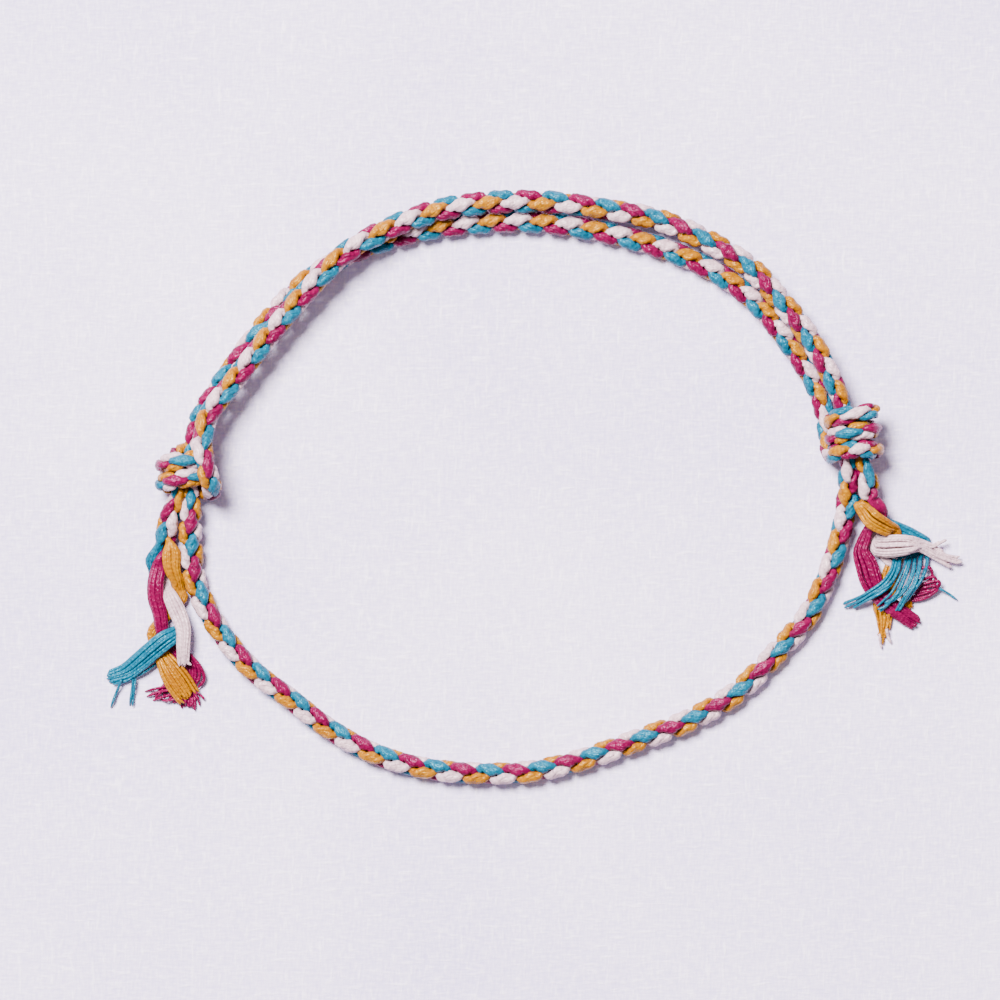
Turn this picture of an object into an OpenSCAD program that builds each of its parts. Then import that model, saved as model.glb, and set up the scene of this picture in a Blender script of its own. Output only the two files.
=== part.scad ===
// Braided bracelet: one round four-strand braid, its two ends tied as sliding knots.
// Each strand is one solid that runs from the fringe of one tail to the fringe of the other.
// Millimetres. The table is z = 0 and the bracelet lies flat on it, z up.

/* [Braid] */
// Thickness of the braid, as a factor of the radii in the tables
girth = 1.0; // [0.8:0.01:1.0]
// How full each strand is within its place in the braid
fill = 0.93; // [0.7:0.01:0.95]
// Steps of the curve between two rows of a table
steps = 12; // [6:1:24]

/* [Tail ends] */
// Width of the loosened locks, as a factor
lock_width = 1.0; // [0.7:0.05:1.0]
// Thickness of the loosened locks, as a factor
lock_depth = 1.0; // [0.7:0.05:1.0]

/* [Colours] */
// Magenta thread
magenta = "#c81e78"; // color
// Cyan thread
cyan = "#3ca0c8"; // color
// Yellow thread
yellow = "#f5a528"; // color
// White thread
white = "#ebe6e6"; // color

/* [Hidden] */

// The route of the braid, from the left tail's end to the right tail's end.
// Columns: x, y, z, turns of the braid so far, radius, facing.
// Facing is the angle of the braid about its own line, clockwise from up as seen along the
// route. Rows without one are eased between their neighbours.
// Left tail, from the loosened end up to the knot.
left_tail = [
    [-37, -8.45, 1.15, 0, 1.12, -45],
    [-36.75, -6.45, 1.2, 0.25, 1.16, -45],
    [-36.65, -4.85, 1.3, 0.5, 1.16, -45],
    [-36.4, -3.6, 1.45, 0.75, 1.1, -45],
    [-36, -2.3, 1.65, 1, 1, -45],
];
// Left sliding knot: up through the core, under the other run, two wraps and the riding turn.
left_knot = [
    [-35.35, -0.7, 2.35, 1.35, 0.66],
    [-35.3, 0.4, 2.45, 1.55, 0.6],
    [-35.3, 1.7, 2.5, 1.75, 0.6],
    [-35.3, 2.8, 2.45, 1.95, 0.62],
    [-35.5, 3.3, 2, 2.15, 0.76],
    [-34.9, 3.6, 1.25, 2.35, 0.82],
    [-33.9, 3.5, 0.85, 2.55, 0.85],
    [-32.9, 3.3, 1.45, 2.8, 0.85],
    [-32.6, 3.05, 2.5, 3, 0.85],
    [-33.1, 2.85, 3.55, 3.2, 0.85],
    [-34.1, 2.7, 3.95, 3.4, 0.85],
    [-35.35, 2.55, 4, 3.6, 0.85, 0],
    [-36.4, 2.35, 3.5, 3.85, 0.85],
    [-36.8, 2.15, 2.45, 4.05, 0.85],
    [-36.3, 1.95, 1.4, 4.3, 0.85],
    [-35.3, 1.8, 1, 4.55, 0.85],
    [-34.1, 1.6, 1, 4.75, 0.85],
    [-33.05, 1.4, 1.45, 5, 0.85],
    [-32.7, 1.3, 2.45, 5.25, 0.85],
    [-33.15, 1.15, 3.5, 5.5, 0.85],
    [-34.15, 0.9, 3.95, 5.7, 0.85],
    [-35.3, 0.75, 3.95, 5.95, 0.85, -5],
    [-36.35, 0.55, 3.55, 6.2, 0.85],
    [-36.8, 0.35, 2.5, 6.5, 0.85],
    [-36.3, 0.2, 1.4, 6.75, 0.85],
    [-35.3, 0.1, 1, 7, 0.85],
    [-34.1, -0.1, 0.95, 7.3, 0.86],
    [-33, -0.3, 1.2, 7.6, 0.88],
    [-32.2, -0.4, 2.2, 7.95, 0.9],
    [-31.95, -0.15, 3.55, 8.25, 0.92],
    [-32.05, 0.45, 4.7, 8.55, 0.94],
    [-32.35, 1.45, 5.3, 8.85, 0.94, 20],
    [-32.6, 2.5, 5.4, 9.05, 0.95],
];
// Upper run A, left knot to right knot, lying over run B.
upper_run_a = [
    [-32.8, 3.6, 5.2, 9.26, 0.98, 40],
    [-32.8, 4.9, 4.75, 9.5, 1.04, 45],
    [-32.15, 7.4, 4.1, 10, 1.1, 45],
    [-29, 11.55, 3.45, 11, 1.1, 45],
    [-25.95, 15.5, 3.4, 12, 1.1, 45],
    [-22.7, 19.3, 3.4, 13, 1.1, 48],
    [-18.65, 23.35, 3.3, 14, 1.1, 55],
    [-13.6, 26.15, 3, 15, 1.1, 68],
    [-8.5, 27.85, 2.75, 16, 1.1, 80],
    [-3.1, 28.5, 2.55, 17, 1.1, 95],
    [2.3, 28.45, 2.4, 18, 1.1, 118],
    [7.55, 27.75, 2.25, 19, 1.1, 138],
    [12.4, 26.8, 2.1, 20, 1.1, 158],
    [17.2, 24.8, 2.1, 21, 1.1, 170],
    [21.7, 22, 2.3, 22, 1.1, 180],
    [24.85, 18.6, 2.7, 23, 1.1, 190],
    [27.8, 14.8, 3.1, 24, 1.1, 210],
    [30.1, 10.5, 3.45, 25, 1.04, 225],
    [30.9, 8.4, 3.45, 25.45, 0.84, 233],
];
// Run A passing straight through the right knot.
right_core = [
    [31.4, 6.65, 3.35, 25.8, 0.62],
    [31.45, 4.95, 3.35, 26.15, 0.62],
    [31.55, 3.35, 3.35, 26.45, 0.64],
];
// Lower arc, right knot back to the left knot along the table.
lower_arc = [
    [31.55, 1.9, 2.85, 26.73, 0.86, 282],
    [31.6, -0.25, 1.85, 27.2, 1.1, 298],
    [31.3, -2.9, 1.3, 27.7, 1.1, 310],
    [30.05, -7.55, 1.15, 28.65, 1.1, 325],
    [27.85, -12.5, 1.1, 29.65, 1.1, 342],
    [24.45, -16.6, 1.1, 30.65, 1.1, 355],
    [20.4, -20.6, 1.1, 31.6, 1.1, 362],
    [15.6, -23.4, 1.1, 32.65, 1.1, 368],
    [10.55, -25.35, 1.1, 33.65, 1.1, 375],
    [5.25, -27.2, 1.1, 34.7, 1.1, 385],
    [0, -28.45, 1.1, 35.7, 1.1, 390],
    [-5.3, -28.65, 1.1, 36.7, 1.1, 398],
    [-10.6, -28.15, 1.1, 37.7, 1.1, 402],
    [-15.7, -26.7, 1.1, 38.7, 1.1, 405],
    [-20.3, -24.2, 1.1, 39.7, 1.1, 405],
    [-24.2, -21.2, 1.1, 40.7, 1.1, 405],
    [-28.1, -18.2, 1.1, 41.7, 1.1, 403],
    [-31.3, -14.3, 1.1, 42.7, 1.1, 395],
    [-33.55, -9.95, 1.25, 43.65, 1.1, 382],
    [-34.1, -6.1, 1.6, 44.4, 1.1, 370],
    [-34.15, -3.7, 2.05, 44.95, 1.08, 365],
    [-34.05, -1.7, 2.4, 45.35, 0.86, 360],
];
// The arc passing straight through the left knot.
left_core = [
    [-34.1, -0.1, 2.5, 45.75, 0.62],
    [-34.15, 1.3, 2.45, 46.05, 0.6],
    [-34.15, 2.7, 2.5, 46.4, 0.62],
];
// Upper run B, left knot to right knot, under and then beside run A.
upper_run_b = [
    [-34, 3.9, 2.55, 46.67, 0.74, 310],
    [-33.7, 5.1, 2.45, 46.96, 0.94, 300],
    [-33.3, 6.6, 1.85, 47.35, 1.05, 300],
    [-32.1, 8.7, 1.3, 48, 1.1, 300],
    [-29.6, 12.5, 1.1, 48.85, 1.1, 320],
    [-26.6, 16.3, 1.1, 49.7, 1.1, 350],
    [-22.9, 20.3, 1.1, 50.75, 1.1, 385],
    [-19.3, 22.8, 1.1, 51.6, 1.1, 408],
    [-15.2, 24.55, 1.1, 52.5, 1.1, 428],
    [-10.4, 25.85, 1.1, 53.5, 1.1, 440],
    [-5.3, 26.5, 1.1, 54.5, 1.1, 440],
    [-0.1, 26.6, 1.1, 55.5, 1.1, 435],
    [5, 25.95, 1.1, 56.5, 1.1, 425],
    [9.9, 24.85, 1.1, 57.5, 1.1, 418],
    [14.5, 23.35, 1.1, 58.5, 1.1, 415],
    [18.95, 21.15, 1.2, 59.5, 1.1, 415],
    [22.65, 18.2, 1.35, 60.5, 1.1, 415],
    [25.6, 14.55, 1.35, 61.5, 1.08, 415],
    [28, 10.8, 1.1, 62.4, 1, 415],
];
// Right sliding knot: below the wraps, three wraps upwards, then down through the core.
right_knot = [
    [29, 8.4, 0.95, 62.95, 0.88],
    [29.3, 7, 0.9, 63.2, 0.84],
    [29.5, 5.5, 0.85, 63.5, 0.82],
    [29.6, 4.3, 0.9, 63.8, 0.82],
    [29.75, 3.45, 1.45, 64.05, 0.76],
    [29.95, 3.05, 2.6, 64.3, 0.74],
    [30.1, 3.4, 3.9, 64.53, 0.76],
    [30.9, 3.55, 4.65, 64.78, 0.78],
    [31.9, 3.7, 4.9, 65.06, 0.8, 90],
    [32.9, 3.8, 4.9, 65.35, 0.8],
    [33.95, 3.7, 4.25, 65.62, 0.8],
    [34.35, 3.7, 3.25, 65.81, 0.8],
    [33.85, 3.85, 2.3, 66, 0.8],
    [32.8, 4.2, 1.9, 66.22, 0.8],
    [31.6, 4.5, 1.9, 66.48, 0.8],
    [30.45, 4.7, 2.35, 66.74, 0.8],
    [30.05, 4.9, 3.35, 67, 0.8],
    [30.5, 5.1, 4.4, 67.25, 0.8],
    [31.5, 5.4, 4.8, 67.5, 0.8, 0],
    [32.7, 5.6, 4.8, 67.7, 0.8],
    [33.7, 5.7, 4.4, 67.95, 0.8],
    [34.1, 5.8, 3.35, 68.15, 0.8],
    [33.6, 5.85, 2.3, 68.35, 0.8],
    [32.6, 5.9, 1.9, 68.55, 0.8],
    [31.4, 6.2, 1.85, 68.75, 0.8],
    [30.35, 6.4, 2.25, 69, 0.8],
    [29.9, 6.6, 3.35, 69.2, 0.8],
    [30.35, 6.9, 4.45, 69.4, 0.8],
    [31.4, 7.15, 4.85, 69.6, 0.8, -90],
    [32.6, 7.35, 4.85, 69.8, 0.78],
    [33.8, 7.6, 4.7, 70, 0.75],
    [34.05, 7.6, 3.55, 70.17, 0.69],
    [33.7, 7.5, 3.15, 70.32, 0.63],
    [32.9, 7.1, 2.9, 70.47, 0.54],
    [32.65, 6.65, 3.4, 70.63, 0.6],
    [32.65, 5.5, 3.45, 70.78, 0.6],
    [32.75, 4.5, 3.45, 70.98, 0.62],
    [32.9, 3.3, 3.3, 71.2, 0.66],
];
// Right tail, down to where the braid loosens.
right_tail = [
    [33.2, 1.8, 3.1, 71.46, 0.88, -35],
    [33.5, 1.1, 3, 71.55, 0.96, -35],
    [33.65, 0.05, 2.7, 71.75, 1.08, -35],
    [33.7, -1, 2.1, 72, 1.12, -35],
    [33.8, -2.2, 1.6, 72.25, 1.14, -35],
];

// The loosened locks beyond each end of the braid, outward from it.
// Columns: x, y, z, width across, thickness.
left_magenta_lock = [
    [-37.35, -8.05, 1.42, 1.2, 0.42],
    [-37.65, -9.5, 1.68, 1.45, 0.55],
    [-37.65, -11.1, 1.61, 1.5, 0.48],
    [-37.25, -12.6, 1.45, 1.3, 0.48],
    [-37.05, -14.1, 1.22, 1.2, 0.46],
    [-36.8, -15.2, 0.52, 1, 0.35],
    [-35.5, -16.8, 0.4, 1.2, 0.36],
    [-34.9, -18.2, 0.3, 2, 0.34],
    [-35.2, -19.7, 0.28, 3.2, 0.32],
    [-35.7, -21.2, 0.28, 4.6, 0.32],
];
left_cyan_lock = [
    [-38.1, -7.3, 1.28, 0.9, 0.3],
    [-37.85, -8.3, 0.55, 0.9, 0.36],
    [-37.75, -9.5, 0.32, 0.9, 0.34],
    [-37.5, -10.8, 0.24, 0.9, 0.34],
    [-37.2, -11.9, 0.2, 0.9, 0.34],
    [-35.6, -12.9, 0.28, 1, 0.36],
    [-34.9, -13.7, 0.5, 1.1, 0.38],
    [-35.5, -14.55, 1.2, 1.2, 0.33],
    [-36.7, -15.3, 1.79, 1.6, 0.41],
    [-38.1, -16.4, 1.45, 1.6, 0.5],
    [-39.4, -17.5, 1, 1.5, 0.5],
    [-40.7, -18.5, 0.55, 1.3, 0.45],
    [-42.1, -19, 0.3, 1, 0.36],
];
left_yellow_lock = [
    [-36.05, -6.6, 2.08, 1.7, 0.42],
    [-36, -8.1, 1.91, 1.5, 0.5],
    [-35.55, -9.4, 1.37, 1.1, 0.42],
    [-35.3, -10.4, 0.84, 0.9, 0.38],
    [-35.1, -11.2, 0.85, 1, 0.34],
    [-37.9, -14.3, 0.54, 1, 0.31],
    [-37.8, -15.6, 0.35, 0.9, 0.33],
    [-36.95, -17.1, 0.87, 1.5, 0.4],
    [-36.2, -18.4, 1.12, 2.3, 0.45],
    [-35.4, -19.6, 1, 2.6, 0.45],
    [-34.6, -20.8, 0.75, 2.4, 0.4],
];
left_white_lock = [
    [-37, -7.7, 0.3, 0.8, 0.28],
    [-36.6, -9.05, 0.21, 0.9, 0.36],
    [-36.5, -10.1, 0.6, 0.85, 0.38],
    [-36.15, -11, 1.97, 1.4, 0.32],
    [-35.5, -12.4, 1.85, 1.7, 0.46],
    [-34.9, -14.1, 1.98, 1.55, 0.46],
    [-34.9, -15.8, 1.94, 1.3, 0.46],
    [-34.9, -17.5, 1.55, 1, 0.4],
];
right_magenta_lock = [
    [34.85, -2, 2.59, 0.8, 0.32],
    [35.05, -2.7, 1.87, 0.9, 0.4],
    [34.27, -3.79, 1.42, 0.9, 0.4],
    [33.7, -4.3, 1.2, 1, 0.4],
    [33.25, -5.4, 1, 1.3, 0.45],
    [32.95, -6.45, 0.95, 1.6, 0.5],
    [33.5, -7.8, 0.95, 2.3, 0.5],
    [34, -9.4, 0.95, 2.3, 0.5],
    [34.84, -10.81, 0.78, 1.8, 0.45],
    [36.4, -12.2, 0.75, 1.6, 0.45],
    [38.2, -13.4, 0.4, 1.5, 0.4],
];
right_cyan_lock = [
    [33.7, -3, 0.99, 0.7, 0.3],
    [35.15, -3.35, 0.99, 0.9, 0.36],
    [35.75, -3.75, 0.81, 1, 0.38],
    [37.1, -4.3, 0.59, 1, 0.4],
    [38.3, -4.9, 0.45, 1, 0.36],
    [39.5, -5.9, 0.32, 1, 0.34],
    [39.8, -6.8, 0.4, 1.2, 0.36],
    [39.4, -8, 0.8, 1.7, 0.4],
    [38.6, -9, 1.35, 2.2, 0.48],
    [37.7, -10, 1.78, 2.4, 0.5],
    [36.4, -10.9, 1.8, 2, 0.5],
    [34.91, -11.69, 1.58, 1.4, 0.45],
    [33.4, -12, 0.95, 0.8, 0.4],
];
right_yellow_lock = [
    [32.7, -1.7, 2.48, 0.9, 0.34],
    [33.35, -2.45, 2.44, 1.5, 0.48],
    [34, -3.25, 2.72, 1.8, 0.5],
    [35.58, -4.16, 1.95, 1.5, 0.48],
    [36.35, -4.5, 1.13, 1, 0.34],
    [36.6, -7.05, 0.21, 1, 0.36],
    [36.1, -8, 0.28, 1.3, 0.34],
    [35.7, -9.9, 0.26, 1.5, 0.34],
    [35.3, -11.9, 0.26, 1.5, 0.34],
    [35, -14.5, 0.3, 1, 0.36],
];
right_white_lock = [
    [34.4, -3, 0.18, 0.8, 0.3],
    [34.3, -4, 0.34, 0.9, 0.34],
    [34.6, -5.1, 0.42, 1.2, 0.36],
    [34.6, -5.9, 1, 1.9, 0.45],
    [37.6, -5.8, 2.17, 1.75, 0.5],
    [38.9, -5.9, 1.5, 1.6, 0.5],
    [40.6, -6.4, 1.05, 1.5, 0.45],
    [42.1, -7.3, 0.6, 1.2, 0.4],
];

route = concat(left_tail, left_knot, upper_run_a, right_core, lower_arc,
               left_core, upper_run_b, right_knot, right_tail);

// Vector helpers.
function unit(v) = v / norm(v);
function square_to(v, d) = unit(v - (v * d) * d);
function middle(points) = [for (axis = [0:2]) (points[0][axis] + points[1][axis]
                                             + points[2][axis] + points[3][axis]) / 4];

// A smooth curve through four neighbouring rows.
function eased(a, b, c, d, s) =
    0.5 * (2 * b + (c - a) * s + (2 * a - 5 * b + 4 * c - d) * s * s
           + (3 * b - a - 3 * c + d) * s * s * s);
function columns(row) = [row[0], row[1], row[2], row[3], row[4] * girth];
rows = [for (row = route) columns(row)];
last_row = len(rows) - 1;
before = 2 * rows[0] - rows[1];
after = 2 * rows[last_row] - rows[last_row - 1];
function row_at(i) = i < 0 ? before : i > last_row ? after : rows[i];
curve = [
    for (i = [0:last_row - 1], j = [0:steps - 1])
        eased(row_at(i - 1), row_at(i), row_at(i + 1), row_at(i + 2), j / steps),
    rows[last_row]
];
last = len(curve) - 1;
function place(i) = [curve[i][0], curve[i][1], curve[i][2]];
heading = [for (i = [0:last]) unit(place(min(i + 1, last)) - place(max(i - 1, 0)))];

// A frame carried along the curve without twist, and the angles that turn it to each facing.
carried = [
    for (i = 0, f = square_to([0, 0, 1], heading[0]);
         i <= last;
         i = i + 1, f = i <= last ? square_to(f, heading[i]) : f) f
];
function facing_angle(row, i) =
    let (up = square_to([0, 0, 1], heading[i]),
         right = cross(heading[i], up),
         wanted = cos(route[row][5]) * up + sin(route[row][5]) * right)
    atan2(wanted * cross(heading[i], carried[i]), wanted * carried[i]);
faced = [for (row = [0:last_row]) if (len(route[row]) > 5) row];
raw = [for (row = faced) facing_angle(row, row * steps)];
unwound = [
    for (i = 0, angle = raw[0];
         i < len(faced);
         i = i + 1, angle = i < len(faced) ? raw[i] + 360 * round((angle - raw[i]) / 360) : 0) angle
];
angles = [for (i = [0:len(faced) - 1]) [route[faced[i]][3], unwound[i]]];
across = [
    for (i = [0:last])
        let (angle = lookup(curve[i][3], angles))
        cos(angle) * carried[i] + sin(angle) * cross(heading[i], carried[i])
];

// Where a count of turns lies on the curve: place, first and second axis of the section, radius.
index_of = [for (i = [0:last]) [curve[i][3], i]];
function blend(list, i, s) = list[i] * (1 - s) + list[min(i + 1, last)] * s;
function station(turns) =
    let (at = lookup(turns, index_of),
         i = floor(at),
         s = at - i,
         row = blend(curve, i, s),
         along = unit(blend(heading, i, s)),
         first = square_to(blend(across, i, s), along))
    [[row[0], row[1], row[2]], first, cross(along, first), row[4]];

// Sections of one strand, for a braid of radius 1. It rides on the outside of the braid, dives
// through the middle between two others, rides on the far side and comes back: six sections a
// turn. The other strands use the same six, turned over or with the axes exchanged.
outside = [[0.94, 0.32], [0.94, -0.32], [0.55, -0.81], [0.55, 0.81]];
diving = [[0.79, 0.33], [0.94, 0.32], [0.98, 0.07], [0.21, 0.03]];
function mirrored(shape, sx, sy) = [for (i = [1, 0, 3, 2]) [shape[i][0] * sx, shape[i][1] * sy]];
six = [outside, diving, mirrored(diving, -1, 1), -outside, -diving, mirrored(diving, 1, -1)];
function turned(shape, crossed, side) =
    [for (p = shape) (crossed ? [p[1], p[0]] : p) * side];
function filled(shape) =
    let (mid = (shape[0] + shape[1] + shape[2] + shape[3]) / 4)
    [for (p = shape) mid + (p - mid) * fill];
function braid_ring(k, start, crossed, side) =
    let (s = station(start + k / 6))
    [for (p = filled(turned(six[k % 6], crossed, side))) s[0] + s[3] * (p[0] * s[1] + p[1] * s[2])];

// A loosened lock: flat rings along its table, each matched to the corners of the one before.
function lock_corners(from, row, next) =
    let (centre = [row[0], row[1], row[2]],
         along = unit(next - from),
         side = unit([-along[1], along[0], 0]),
         tilted = cross(along, side),
         v = (tilted[2] < 0 ? -tilted : tilted) * row[4] * lock_depth / 2,
         h = side * row[3] * lock_width / 2)
    [centre + h + v, centre - h + v, centre - h - v, centre + h - v];
function orders(c) = [
    for (ring = [c, [c[3], c[2], c[1], c[0]]], k = [0:3]) [for (j = [0:3]) ring[(j + k) % 4]]
];
function sum4(v) = v[0] + v[1] + v[2] + v[3];
function misfit(ring, other) =
    let (shift = middle(ring) - middle(other))
    sum4([for (j = [0:3]) norm(ring[j] - other[j] - shift)]);
function matched(corners, other) =
    let (choices = orders(corners),
         scores = [for (ring = choices) misfit(ring, other)],
         least = min(scores))
    [for (i = [0:7]) if (scores[i] <= least + 0.000001) choices[i]][0];
function lock_point(table, i) = [table[i][0], table[i][1], table[i][2]];
function lock_ring(table, i, start, other) =
    let (here = lock_point(table, i),
         from = i == 0 ? middle(start) : lock_point(table, i - 1),
         next = i == len(table) - 1 ? 2 * here - from : lock_point(table, i + 1))
    matched(lock_corners(from, table[i], next), other);
function lock(table, start) = [
    for (i = 0, ring = lock_ring(table, 0, start, start);
         i < len(table);
         i = i + 1, ring = i < len(table) ? lock_ring(table, i, start, ring) : ring) ring
];
function reversed(list) = [for (i = [len(list) - 1:-1:0]) list[i]];

// One closed solid from one fringe to the other.
// start: turns by which the strand's six sections are moved on along the braid.
// first, final: numbers of its first and its last section.
module strand(left_lock, right_lock, start, first, final, crossed, side) {
    braid = [for (k = [first:final]) braid_ring(k, start, crossed, side)];
    rings = concat(reversed(lock(left_lock, braid[0])), braid,
                   lock(right_lock, braid[len(braid) - 1]));
    end = 4 * (len(rings) - 1);
    walls = [
        for (a = [0:4:end - 1], j = [0:3])
            each [[a + j, a + (j + 1) % 4, a + 4 + (j + 1) % 4],
                  [a + j, a + 4 + (j + 1) % 4, a + 4 + j]]
    ];
    caps = [[0, 2, 1], [0, 3, 2], [end, end + 1, end + 2], [end, end + 2, end + 3]];
    faces = [for (f = concat(walls, caps)) crossed ? [f[0], f[2], f[1]] : f];
    polyhedron(points = [for (ring = rings) each ring], faces = faces);
}

module magenta_strand() {
    color(magenta)
        strand(left_magenta_lock, right_magenta_lock, 0, 1, 432, false, 1);
}

module cyan_strand() {
    color(cyan)
        strand(left_cyan_lock, right_cyan_lock, 0, 2, 433, false, -1);
}

module yellow_strand() {
    color(yellow)
        strand(left_yellow_lock, right_yellow_lock, 0.25, 1, 431, true, 1);
}

module white_strand() {
    color(white)
        strand(left_white_lock, right_white_lock, 0.25, 0, 432, true, -1);
}

magenta_strand();
cyan_strand();
yellow_strand();
white_strand();
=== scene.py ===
# %% [markdown]
# # A braided thread bracelet
#
# The bracelet is one round braid of four thread bundles: magenta, cyan, yellow and white. Its two
# ends are tied as sliding knots, each around the other run of the cord, and hang out as tassels.
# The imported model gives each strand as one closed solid. Here each strand becomes what it really
# is, a bundle of fine satin threads that follows the same route.

# %% Load the frame
import math

import bpy
import numpy as np
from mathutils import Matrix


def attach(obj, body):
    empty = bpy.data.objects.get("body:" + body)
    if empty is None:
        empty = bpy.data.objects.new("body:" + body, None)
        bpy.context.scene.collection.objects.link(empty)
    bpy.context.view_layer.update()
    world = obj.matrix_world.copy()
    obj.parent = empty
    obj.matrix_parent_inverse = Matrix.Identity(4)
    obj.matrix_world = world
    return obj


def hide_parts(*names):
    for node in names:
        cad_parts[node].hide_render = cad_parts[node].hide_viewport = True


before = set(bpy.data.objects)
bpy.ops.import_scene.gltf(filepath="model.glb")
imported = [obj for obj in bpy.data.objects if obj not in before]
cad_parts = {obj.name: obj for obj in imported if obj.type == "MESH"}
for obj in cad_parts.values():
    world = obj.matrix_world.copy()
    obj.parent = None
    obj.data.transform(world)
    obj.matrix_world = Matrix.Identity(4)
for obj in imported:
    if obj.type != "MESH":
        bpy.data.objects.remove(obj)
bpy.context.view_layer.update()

MM = 0.001
print("strands in the frame:", sorted(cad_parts))

# %% [markdown]
# ## The camera
#
# The bracelet is seen from straight above, from far away, so the loop keeps its true oval. A long
# lens a metre up does that. At the middle of the cord, 2 mm above the table, the picture is 100 mm
# wide.

# %% Set the camera over the table
CAMERA_HEIGHT = 1000  # mm, as the two values below
CORD_HEIGHT = 2
PICTURE_WIDTH = 100
camera_data = bpy.data.cameras.new("camera")
camera_data.sensor_width = 36
camera_data.lens = camera_data.sensor_width * (CAMERA_HEIGHT - CORD_HEIGHT) / PICTURE_WIDTH
camera = bpy.data.objects.new("camera", camera_data)
camera.location = (-3.2 * MM, -1.3 * MM, CAMERA_HEIGHT * MM)
bpy.context.scene.collection.objects.link(camera)
bpy.context.scene.camera = camera
print("lens:", round(camera_data.lens), "mm")
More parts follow.
